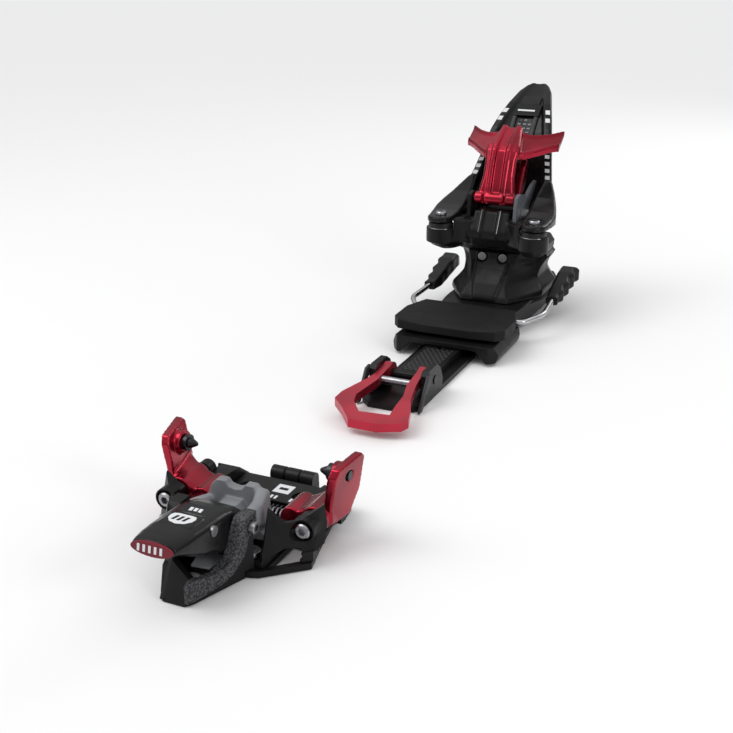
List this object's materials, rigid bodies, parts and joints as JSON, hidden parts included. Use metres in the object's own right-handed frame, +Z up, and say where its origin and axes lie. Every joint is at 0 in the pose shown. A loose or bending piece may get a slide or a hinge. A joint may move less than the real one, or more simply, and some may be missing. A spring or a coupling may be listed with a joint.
{
  "type": "touring binding",
  "caption": "Pin touring binding for a ski: a toe piece with sprung red wings and a lever, and a sliding heel piece with track, brake, roller jaw, lever and folding climbing aids.",
  "frame": {"origin": "on the ski surface, on the toe piece's underside straight below the axis of the two toe pins", "axes": "+X across the ski to the right as seen from the front, +Y along the ski from the toe piece to the heel piece, +Z up from the ski"},
  "size_m": [0.101, 0.5128, 0.1516],
  "materials": {
    "black_plastic": "satin black moulding",
    "grey_grip": "coarse speckled grip texture",
    "grey_plastic": "satin",
    "red_metal": "red anodised, satin",
    "red_plastic": "satin",
    "dark_steel": "dark oxide",
    "steel": "bright zinc",
    "rubber": "matte"
  },
  "bodies": {
    "bases": {"toe_base_plate": "black_plastic", "toe_front_frame": "black_plastic", "toe_rail_right": "grey_grip", "toe_rail_left": "grey_grip", "toe_housing": "black_plastic", "boot_stop": "grey_plastic", "toe_deck_plate": "black_plastic", "crampon_receptacle": "black_plastic", "wing_pivot_pin_right": "steel", "wing_pivot_pin_left": "steel", "wing_spring_front_right": "steel", "wing_spring_front_left": "steel", "wing_spring_rear_right": "steel", "wing_spring_rear_left": "steel", "toe_lever_axle": "steel", "toe_screw_1": "steel", "toe_screw_2": "steel", "toe_screw_3": "steel", "toe_screw_4": "steel", "heel_track": "black_plastic", "track_side_plate_right": "grey_plastic", "track_side_plate_left": "grey_plastic", "mode_lever_axle": "steel", "heel_screw_1": "steel", "heel_screw_2": "steel", "heel_screw_3": "steel", "heel_screw_4": "steel"},
    "toe_lever": {"toe_lever": "black_plastic", "toe_lever_inlay": "red_plastic", "toe_lever_pin": "steel"},
    "wing_left": {"toe_wing_left": "red_metal", "toe_pin_left": "dark_steel"},
    "wing_right": {"toe_wing_right": "red_metal", "toe_pin_right": "dark_steel"},
    "mode_lever": {"mode_lever": "red_metal", "mode_lever_bar": "steel"},
    "length_screw": {"length_screw": "steel"},
    "carriage": {"heel_carriage": "black_plastic", "brake_housing": "black_plastic", "brake_frame": "black_plastic", "turret_ring": "black_plastic"},
    "brake": {"brake_pad": "rubber", "brake_arm_right": "steel", "brake_arm_left": "steel", "brake_grip_right": "black_plastic", "brake_grip_left": "black_plastic"},
    "turret": {"heel_tower": "black_plastic", "tower_bolt_right": "dark_steel", "tower_bolt_left": "dark_steel", "release_spring": "steel"},
    "release_cap": {"release_cap": "dark_steel"},
    "jaw": {"heel_jaw": "black_plastic", "heel_lever": "black_plastic", "roller_screw_right": "steel", "roller_screw_left": "steel", "climbing_aid_axle": "steel"},
    "roller_left": {"roller_left": "rubber"},
    "roller_right": {"roller_right": "rubber"},
    "climbing_aid_front": {"climbing_aid_front": "red_metal"},
    "climbing_aid_rear": {"climbing_aid_rear": "red_metal"}
  },
  "joints": [
    {"name": "toe_lever_hinge", "type": "hinge", "parent": "bases", "child": "toe_lever", "pos_m": [0, -0.04, 0.024], "axis": [-1, 0, 0], "range_deg": [0, 32]},
    {"name": "wing_left_hinge", "type": "hinge", "parent": "bases", "child": "wing_left", "pos_m": [-0.0344, 0, 0.017], "axis": [0, 1, 0], "range_deg": [0, 13]},
    {"name": "wing_right_hinge", "type": "hinge", "parent": "bases", "child": "wing_right", "pos_m": [0.0344, 0, 0.017], "axis": [0, -1, 0], "range_deg": [0, 13]},
    {"name": "mode_lever_hinge", "type": "hinge", "parent": "bases", "child": "mode_lever", "pos_m": [0, 0.175, 0.011], "axis": [-1, 0, 0], "range_deg": [0, 150]},
    {"name": "length_screw_turn", "type": "hinge", "parent": "bases", "child": "length_screw", "pos_m": [0, 0.3, 0.0058], "axis": [0, 1, 0], "continuous": true},
    {"name": "carriage_slide", "type": "slide", "parent": "bases", "child": "carriage", "axis": [0, 1, 0], "range_m": [0, 0.028]},
    {"name": "brake_hinge", "type": "hinge", "parent": "carriage", "child": "brake", "pos_m": [0, 0.284, 0.0146], "axis": [-1, 0, 0], "range_deg": [0, 45]},
    {"name": "turret_turn", "type": "hinge", "parent": "carriage", "child": "turret", "pos_m": [0, 0.362, 0.0155], "axis": [0, 0, 1], "range_deg": [-30, 30], "stiffness_Nm_per_rad": 5},
    {"name": "release_cap_turn", "type": "hinge", "parent": "turret", "child": "release_cap", "pos_m": [0, 0.396, 0.032], "axis": [0, 1, 0], "continuous": true},
    {"name": "jaw_hinge", "type": "hinge", "parent": "turret", "child": "jaw", "pos_m": [0, 0.376, 0.052], "axis": [-1, 0, 0], "range_deg": [0, 38]},
    {"name": "roller_left_spin", "type": "hinge", "parent": "jaw", "child": "roller_left", "pos_m": [-0.033, 0.316, 0.0653], "axis": [0, 0, 1], "continuous": true},
    {"name": "roller_right_spin", "type": "hinge", "parent": "jaw", "child": "roller_right", "pos_m": [0.033, 0.316, 0.0653], "axis": [0, 0, 1], "continuous": true},
    {"name": "front_aid_hinge", "type": "hinge", "parent": "jaw", "child": "climbing_aid_front", "pos_m": [0, 0.333, 0.084], "axis": [1, 0, 0], "range_deg": [0, 105]},
    {"name": "rear_aid_hinge", "type": "hinge", "parent": "jaw", "child": "climbing_aid_rear", "pos_m": [0, 0.333, 0.084], "axis": [1, 0, 0], "range_deg": [0, 105]}
  ],
  "couplings": [
    {"joint": "wing_left_hinge", "follows": "toe_lever_hinge", "ratio": 0.406},
    {"joint": "wing_right_hinge", "follows": "toe_lever_hinge", "ratio": 0.406},
    {"joint": "carriage_slide", "follows": "mode_lever_hinge", "m_per_rad": 0.01069},
    {"joint": "rear_aid_hinge", "follows": "front_aid_hinge", "ratio": 1}
  ]
}
